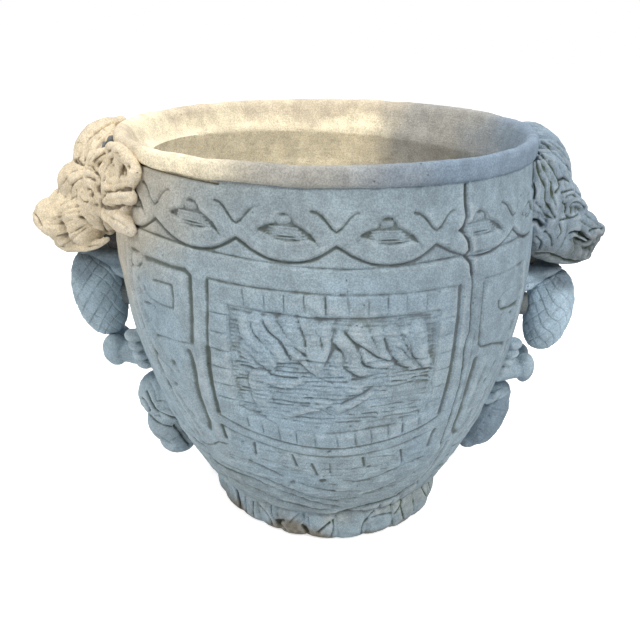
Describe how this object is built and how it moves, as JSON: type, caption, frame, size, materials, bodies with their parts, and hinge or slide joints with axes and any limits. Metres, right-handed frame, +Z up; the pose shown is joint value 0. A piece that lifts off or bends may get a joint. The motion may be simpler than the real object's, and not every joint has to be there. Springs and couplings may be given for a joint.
{
  "type": "garden planter",
  "caption": "Round concrete garden planter with a carved frieze, brick-framed panels, a lion head with hanging fruit on each side, and a ring of toes as its foot.",
  "frame": {"origin": "on the ground under the centre of the foot", "axes": "+Z up, the carved panels face -Y and +Y, the lion heads look along -X and +X"},
  "size_m": [0.944, 0.6738, 0.6696],
  "materials": {
    "bowl_concrete": "matte cast concrete",
    "head_concrete": "matte cast concrete, warmer",
    "ornament_concrete": "matte cast concrete",
    "foot_concrete": "matte cast concrete, stained",
    "mortar": "rough mortar",
    "steel": "rolled bar",
    "drain_pipe": "cast-in pipe"
  },
  "bodies": {
    "root": {"bowl": "bowl_concrete", "drain_sleeve": "drain_pipe", "wall_hoops": "steel", "wall_uprights": "steel", "floor_bars": "steel", "foot_ring": "foot_concrete", "foot_mortar": "mortar", "foot_dowels": "steel", "left_lion_head": "head_concrete", "left_head_mortar": "mortar", "left_head_dowels": "steel", "left_chin_bracket": "ornament_concrete", "left_pine_cone": "ornament_concrete", "left_cone_mortar": "mortar", "left_cone_dowel": "steel", "left_berries": "ornament_concrete", "left_ribbed_drop": "ornament_concrete", "left_seed_pod": "ornament_concrete", "left_berry_mortar": "mortar", "left_pod_mortar": "mortar", "left_pod_dowel": "steel", "right_lion_head": "head_concrete", "right_head_mortar": "mortar", "right_head_dowels": "steel", "right_chin_bracket": "ornament_concrete", "right_pine_cone": "ornament_concrete", "right_cone_mortar": "mortar", "right_cone_dowel": "steel", "right_berries": "ornament_concrete", "right_ribbed_drop": "ornament_concrete", "right_seed_pod": "ornament_concrete", "right_berry_mortar": "mortar", "right_pod_mortar": "mortar", "right_pod_dowel": "steel"}
  },
  "joints": []
}
